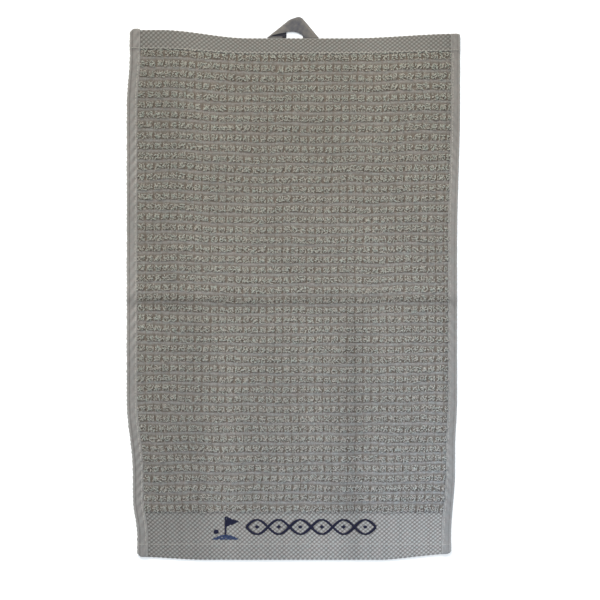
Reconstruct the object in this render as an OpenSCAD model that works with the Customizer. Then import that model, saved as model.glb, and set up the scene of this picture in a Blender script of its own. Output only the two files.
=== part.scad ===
// Golf towel: waffle terry field, woven dobby borders, folded hems, hanging loop
// and a two-colour embroidery. It lies flat with its face up: +Z is up, +Y points
// towards the hanging loop, and the underside is at z = 0. The origin is under
// the middle of the whole outline. Millimetres.

/* [Cloth] */
// Width at the widest place, which is the top right corner
towel_w = 302.8; // [290:0.1:320]
// Length of the cloth from the bottom edge to the middle of the top edge
cloth_l = 474.5; // [460:0.1:490]
// Thickness of the waffle terry with its pile
pile_t = 4.0; // [3.4:0.1:4.2]
// Thickness of one folded layer of the woven border
layer_t = 1.0; // [0.9:0.05:1.1]
// Thickness of the bottom border where it is a single layer
border_t = 1.4; // [1.3:0.05:1.6]
// Thickness of a side hem
side_t = 2.0; // [1.8:0.05:2.2]

/* [Outline] */
// How far the left edge steps in near the top corner
left_top_step = 2.7; // [0:0.1:4]
// How far the right edge steps in below the top corner
right_top_step = 2.7; // [0:0.1:4]
// How far the left edge draws in along the lower third
left_draw = 5.6; // [2:0.1:7]
// How far the denser border draws the left edge in again
left_border_draw = 4.0; // [0:0.1:5]
// How far the right edge draws in along the lower third
right_draw = 1.8; // [0:0.1:4]
// How far the denser border draws the right edge in again
right_border_draw = 3.7; // [0:0.1:5]
// Height of the left top corner above the middle of the top edge
left_rise = 7.6; // [0:0.1:8]
// Height of the right top corner above the middle of the top edge
right_rise = 4.2; // [0:0.1:8]
// Height of the left bottom corner above the middle of the bottom edge
left_lift = 2.7; // [0:0.1:4]
// Height of the right bottom corner above the middle of the bottom edge
right_lift = 5.8; // [0:0.1:7]

/* [Borders and hems] */
// Width of the top border that shows, at the middle
top_border_w = 14.5; // [13.5:0.1:17]
// Width of the bottom border
bottom_border_w = 44.5; // [42:0.1:50]
// Width of the bottom hem, which is turned to the back
bottom_hem_w = 15; // [13:0.1:15.5]
// Width of the left side hem
left_hem_w = 9.5; // [8.5:0.1:11]
// Width of the right side hem
right_hem_w = 8.5; // [8:0.1:10]
// Width of a line of stitching
seam_w = 0.6; // [0.4:0.1:0.8]
// Height of a line of stitching above the cloth
seam_t = 0.25; // [0.2:0.05:0.3]

/* [Fold] */
// Distance of the cross fold from the bottom edge
fold_from_bottom = 236.3; // [230:0.1:240]
// Gap between the two halves at the fold
fold_gap = 0.4; // [0.3:0.05:0.6]

/* [Hanging loop] */
// Height of the loop's tip above the top edge
loop_rise = 19.1; // [17:0.1:21]
// Left end of the loop's foot, from the middle
loop_left = 23.9; // [22:0.1:25]
// Right end of the loop's foot, from the middle
loop_right = 22.8; // [22:0.1:25]
// Thickness of the tape
tape_t = 0.7; // [0.6:0.05:0.8]
// Width of the tape
tape_w = 13; // [12:0.5:14]
// Gap between the tape and the folded top edge
loop_gap = 0.4; // [0.3:0.05:0.5]
// Height of the eye under the tape
eye_h = 5.2; // [4.9:0.1:6]

/* [Embroidery] */
// Height of the embroidery above the border
thread_t = 0.8; // [0.5:0.1:1.0]
// Width of one stitched line
thread_w = 1.7; // [1.4:0.1:2]
// Length of the interlaced band
band_l = 118; // [100:1:120]
// Half the height of the interlaced band
band_h = 6.5; // [5:0.1:7.5]
// Number of crossings in the interlaced band
band_waves = 6; // [4:1:8]
// Thickness of the backing behind the embroidery
backing_t = 0.3; // [0.2:0.05:0.4]

/* [Hidden] */

cloth = [0.52, 0.51, 0.48];
border_c = [0.56, 0.55, 0.53];
hem_c = [0.58, 0.56, 0.54];
thread_c = [0.70, 0.69, 0.66];
tape_c = [0.42, 0.41, 0.39];
navy = [0.07, 0.08, 0.20];
blue = [0.16, 0.25, 0.45];

// The bottom edge, the middle of the top edge, and the fold
bot = -(cloth_l + loop_rise) / 2;
top = bot + cloth_l;
fold = bot + fold_from_bottom;
field_bot = bot + bottom_border_w;
hem_line = bot + bottom_hem_w;
half_w = towel_w / 2;

// Smooth step from 0 to 1
function ramp(t) = let (u = min(1, max(0, t))) u * u * (3 - 2 * u);
function span(a, b, n) = [for (i = [0 : n]) a + (b - a) * i / n];
function back(v) = [for (i = [len(v) - 1 : -1 : 0]) v[i]];

// The four edges of the cloth
function left_x(y) = -half_w
  + left_top_step * ramp((y - top + 62) / 46)
  + left_draw * ramp((bot + 146 - y) / 68)
  + left_border_draw * ramp((bot + 57 - y) / 35);
function right_x(y) = half_w
  - right_top_step * ramp((top - 58 - y) / 130)
  - right_draw * ramp((bot + 147 - y) / 45)
  - right_border_draw * ramp((bot + 82 - y) / 60);
function top_y(x) = top
  + left_rise * ramp((-40 - x) / 80)
  + right_rise * ramp((x - 50) / 100);
function bottom_y(x) = bot
  + left_lift * ramp((-80 - x) / 62)
  + right_lift * pow(ramp((x - 80) / 72), 0.8);

// The lines inside them: the foot of the top border and the side hems
function field_top(x) = top - top_border_w + 0.57 * (top_y(x) - top);
function in_left(y) = left_x(y) + left_hem_w;
function in_right(y) = right_x(y) - right_hem_w;

xl = in_left(top);
xr = in_right(top);
yl = field_top(xl);
yr = field_top(xr);

// Stations along the sides of each half
up_l = span(fold + fold_gap / 2, yl, 14);
up_r = span(fold + fold_gap / 2, yr, 14);
down = span(fold - fold_gap / 2, field_bot, 12);
low = span(field_bot, hem_line, 3);
foot = span(hem_line, bot + 6.5, 1);

// Rounds the corner p between a and b with radius r
function fillet(a, p, b, r, n = 6) =
  let (u = (a - p) / norm(a - p), v = (b - p) / norm(b - p),
       h = acos(u * v) / 2, d = r / tan(h),
       m = (u + v) / norm(u + v), c = p + m * r / sin(h),
       s = p + u * d - c, e = p + v * d - c,
       a0 = atan2(s[1], s[0]), turn = atan2(s[0] * e[1] - s[1] * e[0], s * e))
  [for (i = [0 : n]) c + r * [cos(a0 + turn * i / n), sin(a0 + turn * i / n)]];

// A line of width w through the points v
function side_of(v, i, d) =
  let (p = v[max(0, i - 1)], q = v[min(len(v) - 1, i + 1)], t = (q - p) / norm(q - p))
  v[i] + d * [-t[1], t[0]];
module line_shape(v, w)
  polygon(concat([for (i = [0 : len(v) - 1]) side_of(v, i, w / 2)],
                 [for (i = [len(v) - 1 : -1 : 0]) side_of(v, i, -w / 2)]));

module slab(z, t) translate([0, 0, z]) linear_extrude(t) children();

// Waffle terry, above the fold
module upper_waffle_field() color(cloth)
  slab(0, pile_t)
    polygon(concat(
      [for (y = up_r) [in_right(y), y]],
      [for (x = span(xr, xl, 26)) if (x < xr && x > xl) [x, field_top(x)]],
      [for (y = back(up_l)) [in_left(y), y]]));

// Waffle terry, below the fold
module lower_waffle_field() color(cloth)
  slab(0, pile_t)
    polygon(concat(
      [for (y = down) [in_left(y), y]],
      [for (y = back(down)) [in_right(y), y]]));

module top_band(a, b)
  polygon(concat(
    [for (x = span(a, b, 26)) [x, field_top(x)]],
    [for (x = span(b, a, 26)) [x, top_y(x)]]));

// Front layer of the top border
module top_border() color(border_c)
  slab(layer_t, layer_t) top_band(xl, xr);

// Back layer of the top border, turned over at the top edge. The two ends of
// the tape press into it from behind.
module top_hem() color(hem_c) difference() {
  slab(0, layer_t) polygon(concat(
    [for (x = span(xl, xr, 26)) [x, field_top(x)]],
    [[right_x(top), yr], [right_x(top), top_y(right_x(top))]],
    [for (x = span(xr, xl, 26)) [x, top_y(x)]],
    fillet([xl, top_y(xl)], [left_x(top), top_y(xl)], [left_x(top), yl], 2.5),
    [[left_x(top), yl]]));
  for (x = [end_l, end_r]) translate([x - tape_w / 2 - 0.1, top - top_border_w - 1, -1])
    cube([tape_w + 0.2, top_border_w + 2, 1 + tape_t]);
}

// Bottom border: one layer above the hem, and the front layer over it
module bottom_border() color(border_c) difference() {
  union() {
    slab(0, border_t) polygon(concat(
      [for (y = low) [in_left(y), y]],
      [for (y = back(low)) [in_right(y), y]]));
    slab(layer_t, layer_t) polygon(concat(
      [[in_left(hem_line + 1), hem_line + 1], [in_left(hem_line), hem_line]],
      [for (x = span(in_left(bot), in_right(bot), 24)) [x, bottom_y(x)]],
      [[in_right(hem_line), hem_line], [in_right(hem_line + 1), hem_line + 1]]));
  }
  backing_place(0.1);
}

// Back layer of the bottom border, turned over at the bottom edge
module bottom_hem() color(hem_c)
  slab(0, layer_t) polygon(concat(
    [[left_x(hem_line), hem_line]],
    fillet([left_x(bot + 6.5), bot + 6.5], [left_x(bot), bottom_y(left_x(bot))],
           [in_left(bot), bottom_y(in_left(bot))], 2.5),
    [for (x = span(in_left(bot), in_right(bot), 24)) [x, bottom_y(x)]],
    fillet([in_right(bot), bottom_y(in_right(bot))], [right_x(bot), bottom_y(right_x(bot))],
           [right_x(bot + 6.5), bot + 6.5], 1.8),
    [[right_x(hem_line), hem_line]]));

// Side hems. Each lies flat beside the terry and rides up over the folded
// border at the corner.
module left_hem_upper() color(hem_c) {
  slab(0, side_t) polygon(concat(
    [for (y = up_l) [in_left(y), y]], [for (y = back(up_l)) [left_x(y), y]]));
  slab(layer_t, side_t) polygon(concat(
    [[left_x(yl - 1), yl - 1], [in_left(yl - 1), yl - 1], [xl, yl], [xl, top_y(xl)]],
    fillet([xl, top_y(xl)], [left_x(top), top_y(xl)], [left_x(top), yl], 2.5),
    [[left_x(yl), yl]]));
}
module right_hem_upper() color(hem_c) {
  slab(0, side_t) polygon(concat(
    [for (y = up_r) [right_x(y), y]], [for (y = back(up_r)) [in_right(y), y]]));
  slab(layer_t, side_t) polygon([
    [in_right(yr - 1), yr - 1], [right_x(yr - 1), yr - 1], [right_x(top), yr],
    [right_x(top), top_y(right_x(top))], [xr, top_y(xr)], [xr, yr]]);
}
side_low = concat(down, [for (i = [1 : len(low) - 1]) low[i]]);
module left_hem_lower() color(hem_c) {
  slab(0, side_t) polygon(concat(
    [for (y = side_low) [left_x(y), y]], [for (y = back(side_low)) [in_left(y), y]]));
  slab(layer_t, side_t) polygon(concat(
    [[in_left(hem_line + 1), hem_line + 1], [left_x(hem_line + 1), hem_line + 1],
     [left_x(hem_line), hem_line]],
    fillet([left_x(bot + 6.5), bot + 6.5], [left_x(bot), bottom_y(left_x(bot))],
           [in_left(bot), bottom_y(in_left(bot))], 2.5),
    [[in_left(bot), bottom_y(in_left(bot))], [in_left(hem_line), hem_line]]));
}
module right_hem_lower() color(hem_c) {
  slab(0, side_t) polygon(concat(
    [for (y = side_low) [in_right(y), y]], [for (y = back(side_low)) [right_x(y), y]]));
  slab(layer_t, side_t) polygon(concat(
    [[in_right(hem_line), hem_line], [in_right(bot), bottom_y(in_right(bot))]],
    fillet([in_right(bot), bottom_y(in_right(bot))], [right_x(bot), bottom_y(right_x(bot))],
           [right_x(bot + 6.5), bot + 6.5], 1.8),
    [[right_x(hem_line), hem_line], [right_x(hem_line + 1), hem_line + 1],
     [in_right(hem_line + 1), hem_line + 1]]));
}

// Lines of stitching, which lie on the cloth
module left_seam_upper() color(thread_c)
  slab(side_t, seam_t) line_shape([for (y = up_l) if (y < yl - 1.5) [in_left(y) - 2, y]], seam_w);
module left_seam_lower() color(thread_c)
  slab(side_t, seam_t) line_shape([for (y = side_low) if (y > hem_line + 1.5) [in_left(y) - 2, y]], seam_w);
module right_seam_upper() color(thread_c)
  slab(side_t, seam_t) line_shape([for (y = up_r) if (y < yr - 1.5) [in_right(y) + 2, y]], seam_w);
module right_seam_lower() color(thread_c)
  slab(side_t, seam_t) line_shape([for (y = side_low) if (y > hem_line + 1.5) [in_right(y) + 2, y]], seam_w);
module top_seam() color(thread_c)
  slab(2 * layer_t, seam_t)
    line_shape([for (x = span(xl + 1, xr - 1, 26)) [x, field_top(x) + 1.2]], seam_w);
module bottom_seam() color(thread_c)
  slab(2 * layer_t, seam_t) translate([0, hem_line - 0.6])
    polygon([[in_left(hem_line) + 1, -seam_w / 2], [in_right(hem_line) - 1, -seam_w / 2],
             [in_right(hem_line) - 1, seam_w / 2], [in_left(hem_line) + 1, seam_w / 2]]);

// Hanging loop: an arch of tape that swings about the top edge
foot_y = top + loop_gap;
tip_r = 6.1;
tip = [4, top + loop_rise + 2.1];
end_l = -loop_left + tape_w / 2 + 1;
end_r = loop_right - tape_w / 2 - 1;
module hanging_loop() color(tape_c)
  slab(0, tape_t) polygon(concat(
    [[-loop_left, foot_y]],
    fillet([-loop_left, foot_y], tip, [loop_right, foot_y], tip_r, 10),
    [[loop_right, foot_y], [10.5, foot_y]],
    fillet([10.5, foot_y], [1.5, top + eye_h], [-6.5, top + eye_h], 4, 4),
    fillet([1.5, top + eye_h], [-6.5, top + eye_h], [-6.5, foot_y], 2.2, 5),
    [[-6.5, foot_y]]));

// The two ends of the tape, sewn flat behind the top border
module loop_ends() color(tape_c)
  for (x = [end_l, end_r]) translate([x, top - (top_border_w - 1) / 2, tape_t / 2])
    cube([tape_w, top_border_w - 1, tape_t - 0.02], center = true);

// Embroidery: a flag on a green, and an interlaced band
emb_y = bot + 29.5;
flag_x = -61.8;
module emblem_flag() color(navy) {
  slab(border_t, thread_t) polygon([
    [flag_x - 0.9, emb_y - 6.4], [flag_x + 0.9, emb_y - 6.4], [flag_x + 0.9, emb_y - 0.2],
    [flag_x + 12.5, emb_y + 5.2], [flag_x + 0.9, emb_y + 10.2], [flag_x - 0.9, emb_y + 10.2]]);
  translate([flag_x - 8.5, emb_y - 3.9, border_t]) cylinder(r = 2.3, h = thread_t, $fn = 40);
}
module emblem_green() color(blue) slab(border_t, thread_t)
  intersection() {
    translate([flag_x, emb_y - 26.5]) circle(r = 19.9, $fn = 120);
    translate([flag_x - 20, emb_y - 11]) square([40, 12]);
  }
band_x0 = -43;
function wave(s) = [for (i = [0 : 72]) let (t = i / 72)
  [band_x0 + t * band_l, emb_y + 0.5 + s * band_h * sin(180 * band_waves * t)]];
module embroidered_band() color(navy) slab(border_t, thread_t) {
  line_shape(wave(1), thread_w);
  line_shape(wave(-1), thread_w);
  for (i = [0 : band_waves - 1])
    translate([band_x0 + band_l * (i + 0.5) / band_waves, emb_y + 0.5])
      rotate(45) square(3, center = true);
}

module backing_place(more)
  translate([-79 - more, emb_y - 13 - more, -1])
    cube([158 + 2 * more, 24.5 + 2 * more, 1 + backing_t]);
// Backing, behind the embroidery and level with the underside
module embroidery_backing() color([0.85, 0.85, 0.84])
  translate([-79, emb_y - 13, 0]) cube([158, 24.5, backing_t]);

upper_waffle_field();
lower_waffle_field();
top_border();
bottom_border();
top_hem();
bottom_hem();
left_hem_upper();
left_hem_lower();
right_hem_upper();
right_hem_lower();
left_seam_upper();
left_seam_lower();
right_seam_upper();
right_seam_lower();
top_seam();
bottom_seam();
hanging_loop();
loop_ends();
emblem_flag();
emblem_green();
embroidered_band();
embroidery_backing();
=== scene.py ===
import math

import bpy
import numpy as np
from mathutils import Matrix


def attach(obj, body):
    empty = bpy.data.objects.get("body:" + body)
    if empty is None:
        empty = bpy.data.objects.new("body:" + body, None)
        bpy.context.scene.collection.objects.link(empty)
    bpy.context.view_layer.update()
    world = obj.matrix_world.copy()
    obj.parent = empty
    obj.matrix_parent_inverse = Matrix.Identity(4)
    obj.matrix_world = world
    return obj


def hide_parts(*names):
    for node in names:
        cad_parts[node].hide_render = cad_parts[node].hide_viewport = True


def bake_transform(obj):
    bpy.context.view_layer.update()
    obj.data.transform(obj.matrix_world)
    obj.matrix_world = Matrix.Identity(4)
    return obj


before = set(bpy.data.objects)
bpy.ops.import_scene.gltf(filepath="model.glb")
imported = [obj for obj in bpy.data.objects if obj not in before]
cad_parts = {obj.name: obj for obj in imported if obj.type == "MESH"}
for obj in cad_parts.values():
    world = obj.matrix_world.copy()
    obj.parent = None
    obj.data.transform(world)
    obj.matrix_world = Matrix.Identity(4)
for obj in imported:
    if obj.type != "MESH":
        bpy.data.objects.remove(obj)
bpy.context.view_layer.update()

MM = 0.001
rng = np.random.default_rng(20)

# ---------------------------------------------------------------- outline
# The towel's own lines, in millimetres, as the frame holds them.
HALF_W, BOT, TOP, FOLD = 151.4, -246.8, 227.7, -10.5
FIELD_BOT, HEM_LINE = -202.3, -231.8
EMB_Y = BOT + 29.5
FLAG_X = -61.8
COLS, ROWS, BAND = 38.5, 46, 0.69


def ramp(t):
    t = np.clip(t, 0.0, 1.0)
    return t * t * (3 - 2 * t)


def left_x(y):
    return -HALF_W + 2.7 * ramp((y - TOP + 62) / 46) + 5.6 * ramp((BOT + 146 - y) / 68) + 4.0 * ramp((BOT + 57 - y) / 35)


def right_x(y):
    return HALF_W - 2.7 * ramp((TOP - 58 - y) / 130) - 1.8 * ramp((BOT + 147 - y) / 45) - 3.7 * ramp((BOT + 82 - y) / 60)


def top_y(x):
    return TOP + 7.6 * ramp((-40 - x) / 80) + 4.2 * ramp((x - 50) / 100)


def bottom_y(x):
    return BOT + 2.7 * ramp((-80 - x) / 62) + 5.8 * np.power(ramp((x - 80) / 72), 0.8)


def field_top(x):
    return TOP - 14.5 + 0.57 * (top_y(x) - TOP)


def in_left(y):
    return left_x(y) + 9.5


def in_right(y):
    return right_x(y) - 8.5


YL = float(field_top(in_left(TOP)))
YR = float(field_top(in_right(TOP)))


# Smooth noise from a sum of seeded waves
def waves(seed, n, lo, hi):
    r = np.random.default_rng(seed)
    k = 2 * np.pi / r.uniform(lo, hi, n)
    a = r.uniform(0, 2 * np.pi, n)
    p = r.uniform(0, 2 * np.pi, n)
    kx, ky = k * np.cos(a), k * np.sin(a)

    def f(x, y):
        x, y = np.asarray(x, float), np.asarray(y, float)
        s = np.zeros(np.broadcast(x, y).shape)
        for i in range(n):
            s = s + np.sin(kx[i] * x + ky[i] * y + p[i])
        return s / math.sqrt(n)

    return f


slow = waves(3, 9, 70, 160)
mid_wave = waves(4, 12, 22, 60)
fine_wave = waves(5, 16, 5, 14)
wob = waves(6, 10, 30, 90)


def lift(x, y):
    """How far the cloth stands off the table: the cross crease, two faint lengthwise creases, and slow ripples."""
    x, y = np.asarray(x, float), np.asarray(y, float)
    d = y - (FOLD - 1.0 + 0.8 * np.sin(x / 41.0))
    cross = 0.70 * np.exp(-((d / np.where(d > 0, 12.0, 3.6)) ** 2))
    low = ramp((60 - y) / 120) * ramp((y + 225) / 40)
    a = 0.30 * low * np.exp(-(((x + 70 + 0.03 * (y + 10)) / 8.0) ** 2))
    b = 0.30 * low * np.exp(-(((x - 62 + 0.02 * (y + 10)) / 7.0) ** 2))
    s = cross + a + b + 0.10 * (1 + slow(x, y)) + 0.05 * (1 + mid_wave(x, y))
    s = np.maximum(s, 0)
    return 0.85 * (1 - np.exp(-s / 0.85))


def bump1(x, mid, wide):
    return np.exp(-(((x - mid) / wide) ** 2))


def painted_shade_of(x, y):
    """Painted light and shade: how light the cloth is painted in each place. It is duller along the cross crease as
    painted shade, with a lighter strip on the lit side above it, and a little lighter through the middle. It is lighter
    or darker on the panels between the old folds, as painted light and shade for panels facing towards or away from the
    light, and darker near the left edge and on the right hem."""
    d = y - (FOLD + 0.8 * np.sin(x / 41.0))
    low = ramp((FOLD - y) / 22.0)
    k = 1 - 0.17 * bump1(d, -0.5, 4.6) + 0.04 * bump1(d, 9.0, 5.0) + 0.035 * bump1(y, 10, 95)
    k = k + low * (-0.07 * ramp((-76 - x) / 9.0) + 0.07 * bump1(x, -58, 11) + 0.05 * bump1(x, 17, 8)
                   - 0.13 * bump1(x, 54, 8) + 0.02 * ramp((x - 66) / 12.0))
    k = k + (1 - low) * (-0.10 * ramp((-84 - x) / 34.0) + 0.04 * bump1(x, 70, 22) - 0.03 * ramp((x - 116) / 12.0)
                         - 0.06 * ramp((x - 137) / 4.0))
    k = k - low * 0.14 * ramp((x - 135) / 4.0)
    return k


# ---------------------------------------------------------------- mesh tools
def make(name, co, groups, mats, mat_of=None, smooth=True, tone=None):
    """A mesh object from points in mm and arrays of faces. groups is a list of (n, k) index arrays; mat_of gives a slot
    per group.
    tone is a number for each point that paints shade into the colour, from 0 for yarn far down in the cloth, in painted
    shade, to 1 for yarn on its face, in full light."""
    co = np.asarray(co, float).reshape(-1, 3)
    me = bpy.data.meshes.new(name)
    me.vertices.add(len(co))
    me.vertices.foreach_set("co", (co * MM).astype(np.float32).ravel())
    loops = np.concatenate([np.asarray(g).ravel() for g in groups]).astype(np.int32)
    sizes = np.concatenate([np.full(len(g), np.asarray(g).shape[1]) for g in groups])
    starts = np.concatenate([[0], np.cumsum(sizes)[:-1]]).astype(np.int32)
    me.loops.add(len(loops))
    me.loops.foreach_set("vertex_index", loops)
    me.polygons.add(len(sizes))
    me.polygons.foreach_set("loop_start", starts)
    if mat_of is not None:
        slots = np.concatenate([np.full(len(g), m) for g, m in zip(groups, mat_of)]).astype(np.int32)
        me.polygons.foreach_set("material_index", slots)
    me.update(calc_edges=True)
    me.validate()
    me.polygons.foreach_set("use_smooth", np.full(len(me.polygons), smooth))
    at = me.attributes.new("rest", "FLOAT_VECTOR", "POINT")
    at.data.foreach_set("vector", (co * MM).astype(np.float32).ravel())
    # painted light and shade for every point, stored in the attribute shade
    s_at = me.attributes.new("shade", "FLOAT", "POINT")
    s_at.data.foreach_set("value", painted_shade_of(co[:, 0], co[:, 1]).astype(np.float32))
    if tone is not None:
        ta = me.attributes.new("tone", "FLOAT", "POINT")
        ta.data.foreach_set("value", np.asarray(tone, np.float32).ravel())
    ob = bpy.data.objects.new(name, me)
    bpy.context.scene.collection.objects.link(ob)
    for m in mats:
        me.materials.append(m)
    return ob


def turned(co, groups):
    """Turns every face over if the closed mesh is inside out."""
    v = 0.0
    for g in groups:
        g = np.asarray(g)
        a = co[g[:, 0]]
        for i in range(1, g.shape[1] - 1):
            v += np.einsum("ij,ij->", a, np.cross(co[g[:, i]], co[g[:, i + 1]]))
    return [np.asarray(g)[:, ::-1] for g in groups] if v < 0 else groups


def sheet_mesh(name, outer, inner, mats, tone=None, tone_in=None):
    """A closed sheet between two grids of points, (n, m, 3) each."""
    n, m = outer.shape[:2]
    co = np.concatenate([outer.reshape(-1, 3), inner.reshape(-1, 3)])
    idx = np.arange(n * m).reshape(n, m)
    q = np.stack([idx[:-1, :-1], idx[:-1, 1:], idx[1:, 1:], idx[1:, :-1]], 2).reshape(-1, 4)
    k = n * m
    edge = np.concatenate([idx[0, :-1], idx[:-1, -1], idx[-1, ::-1][:-1], idx[::-1, 0]])
    a, b = edge[:-1], edge[1:]
    # the border of the grid, once round
    rim = np.stack([b, a, a + k, b + k], 1)
    co2, groups = co, [q, (q + k)[:, ::-1], rim]
    groups = turned(co2, groups)
    if tone is not None:
        tone = np.concatenate([np.asarray(tone, float).ravel(), np.asarray(tone if tone_in is None else tone_in, float).ravel()])
    return make(name, co2, groups, mats, tone=tone)


def tube_points(P, R, ref, sides):
    """Rings round the paths P (N, K, 3), radius R (N, K) and a direction ref (N, 3) that no path follows."""
    T = np.empty_like(P)
    T[:, 1:-1] = P[:, 2:] - P[:, :-2]
    T[:, 0] = P[:, 1] - P[:, 0]
    T[:, -1] = P[:, -1] - P[:, -2]
    T /= np.linalg.norm(T, axis=2, keepdims=True) + 1e-12
    B = np.cross(T, ref[:, None, :])
    B /= np.linalg.norm(B, axis=2, keepdims=True) + 1e-12
    C = np.cross(B, T)
    ang = 2 * np.pi * np.arange(sides) / sides
    ring = (
        P[:, :, None, :]
        + R[:, :, None, None] * (np.cos(ang)[:, None] * C[:, :, None, :] + np.sin(ang)[:, None] * B[:, :, None, :])
    )
    return ring.reshape(-1, 3)


def tube_faces(N, K, sides):
    f = []
    for i in range(K - 1):
        for j in range(sides):
            a, b = i * sides + j, i * sides + (j + 1) % sides
            f.append((a, b, b + sides, a + sides))
    f = np.array(f)
    c0 = np.arange(sides)[::-1]
    c1 = (K - 1) * sides + np.arange(sides)
    off = (np.arange(N) * K * sides)[:, None]
    q = (f[None] + off[:, :, None]).reshape(-1, 4)
    caps = np.concatenate([c0[None] + off, c1[None] + off])
    return q, caps


def tubes(name, P, R, ref, sides, mats, tone=None):
    P = np.asarray(P, float)
    N, K = P.shape[:2]
    R = np.broadcast_to(np.asarray(R, float), (N, K))
    ref = np.broadcast_to(np.asarray(ref, float), (N, 3))
    co = tube_points(P, R, ref, sides)
    q, caps = tube_faces(N, K, sides)
    one = [q[: (K - 1) * sides], caps[[0, N]]]
    if turned(co, one) is not one:
        q, caps = q[:, ::-1], caps[:, ::-1]
    if tone is not None:
        tone = np.repeat(np.broadcast_to(tone, (N, K)).ravel(), sides)
    return make(name, co, [q, caps], mats, tone=tone)


def join(name, *obs):
    bpy.ops.object.select_all(action="DESELECT")
    for o in obs:
        o.select_set(True)
    bpy.context.view_layer.objects.active = obs[0]
    bpy.ops.object.join()
    obs[0].name = name
    obs[0].data.name = name
    return obs[0]


# ---------------------------------------------------------------- materials
def fabric(name, col, cool=None, fine=0.10, fine_scale=700, blotch=0.05, rough=0.9, sheen=0.25, bump=0.25,
           bump_scale=2600, bump_size=0.00012, weave=None, weave_depth=0.00005, spec=0.25, tint=(1, 1, 1), shade_col=None, shade_col_cool=None, dull=0.90,
           hue=0.0):
    """A cotton or thread finish. col and cool are linear colours at the top and the lower right of the cloth, and their
    blend paints the warm light at the top and the cooler, paler light at the lower right. shade_col and shade_col_cool
    are the same for the painted shade on yarn far down in the cloth, mixed in where the tone attribute is low."""
    m = bpy.data.materials.new(name)
    m.use_nodes = True
    nt = m.node_tree
    N, L = nt.nodes, nt.links
    N.clear()
    out = N.new("ShaderNodeOutputMaterial")
    b = N.new("ShaderNodeBsdfPrincipled")
    L.new(b.outputs[0], out.inputs[0])
    b.inputs["Roughness"].default_value = rough
    b.inputs["Sheen Weight"].default_value = sheen
    b.inputs["Sheen Roughness"].default_value = 0.45
    b.inputs["Sheen Tint"].default_value = (*tint, 1)
    b.inputs["Specular IOR Level"].default_value = spec
    at = N.new("ShaderNodeAttribute")
    at.attribute_name = "rest"
    P = at.outputs["Vector"]

    def noise(scale, detail, rough_=0.55):
        n = N.new("ShaderNodeTexNoise")
        n.inputs["Scale"].default_value = scale
        n.inputs["Detail"].default_value = detail
        n.inputs["Roughness"].default_value = rough_
        L.new(P, n.inputs["Vector"])
        return n.outputs["Fac"]

    def span(v, a, b_, lo, hi):
        r = N.new("ShaderNodeMapRange")
        for k, x in zip(("From Min", "From Max", "To Min", "To Max"), (a, b_, lo, hi)):
            r.inputs[k].default_value = x
        L.new(v, r.inputs["Value"])
        return r.outputs[0]

    def mul(a, b_):
        r = N.new("ShaderNodeMath")
        r.operation = "MULTIPLY"
        L.new(a, r.inputs[0])
        L.new(b_, r.inputs[1])
        return r.outputs[0]

    v = mul(span(noise(fine_scale, 2.0), 0.3, 0.7, 1 - fine, 1 + fine),
            span(noise(16, 2.0), 0.3, 0.7, 1 - blotch, 1 + blotch))
    v = mul(v, span(noise(fine_scale * 3.1, 1.0), 0.3, 0.7, 1 - fine * 0.6, 1 + fine * 0.6))
    # painted light: warmer at the upper left, as under the warm key light, and cooler and paler at the lower right, as
    # under the cool fill light
    mix = N.new("ShaderNodeMix")
    mix.data_type = "RGBA"
    mix.inputs["A"].default_value = (*col, 1)
    mix.inputs["B"].default_value = (*(cool or col), 1)
    sep = N.new("ShaderNodeSeparateXYZ")
    L.new(P, sep.inputs[0])
    gx = span(sep.outputs["X"], -0.14, 0.14, 0.42, 1.17)
    gy = N.new("ShaderNodeMath")
    gy.operation = "POWER"
    L.new(span(sep.outputs["Y"], 0.23, -0.24, 0.0, 1.0), gy.inputs[0])
    gy.inputs[1].default_value = 1.6
    grade = mul(gx, gy.outputs[0])
    L.new(grade, mix.inputs["Factor"])
    # painted light and shade: the shade attribute scales the colour
    sa = N.new("ShaderNodeAttribute")
    sa.attribute_name = "shade"
    v = mul(v, sa.outputs["Fac"])
    # painted shade: a little duller towards the lower left
    v = mul(v, span(mul(span(sep.outputs["X"], -0.15, 0.05, 1.0, 0.0), span(sep.outputs["Y"], 0.0, -0.24, 0.0, 1.0)),
                    0.0, 1.0, 1.0, dull))
    face = mix.outputs["Result"]
    if hue:
        h = N.new("ShaderNodeMix")
        h.data_type = "RGBA"
        h.blend_type = "MULTIPLY"
        h.inputs["Factor"].default_value = 1.0
        hc = N.new("ShaderNodeMix")
        hc.data_type = "RGBA"
        hc.inputs["A"].default_value = (1 + hue, 1 - hue * 0.35, 1 - hue * 0.6, 1)
        hc.inputs["B"].default_value = (1 - hue, 1 + hue * 0.5, 1 + hue * 0.5, 1)
        L.new(span(noise(310, 1.0), 0.35, 0.65, 0.0, 1.0), hc.inputs["Factor"])
        L.new(face, h.inputs["A"])
        L.new(hc.outputs["Result"], h.inputs["B"])
        face = h.outputs["Result"]
    # painted shade: where the tone attribute is low the colour turns to the shade colour
    if shade_col:
        ta = N.new("ShaderNodeAttribute")
        ta.attribute_name = "tone"
        dm = N.new("ShaderNodeMix")
        dm.data_type = "RGBA"
        dg = N.new("ShaderNodeMix")
        dg.data_type = "RGBA"
        dg.inputs["A"].default_value = (*shade_col, 1)
        dg.inputs["B"].default_value = (*(shade_col_cool or shade_col), 1)
        L.new(grade, dg.inputs["Factor"])
        L.new(dg.outputs["Result"], dm.inputs["A"])
        L.new(ta.outputs["Fac"], dm.inputs["Factor"])
        L.new(face, dm.inputs["B"])
        face = dm.outputs["Result"]
    sc = N.new("ShaderNodeVectorMath")
    sc.operation = "SCALE"
    L.new(face, sc.inputs[0])
    L.new(v, sc.inputs["Scale"])
    L.new(sc.outputs[0], b.inputs["Base Color"])
    r = span(noise(fine_scale * 1.7, 1.0), 0.3, 0.7, rough - 0.06, min(1.0, rough + 0.06))
    L.new(r, b.inputs["Roughness"])

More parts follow.
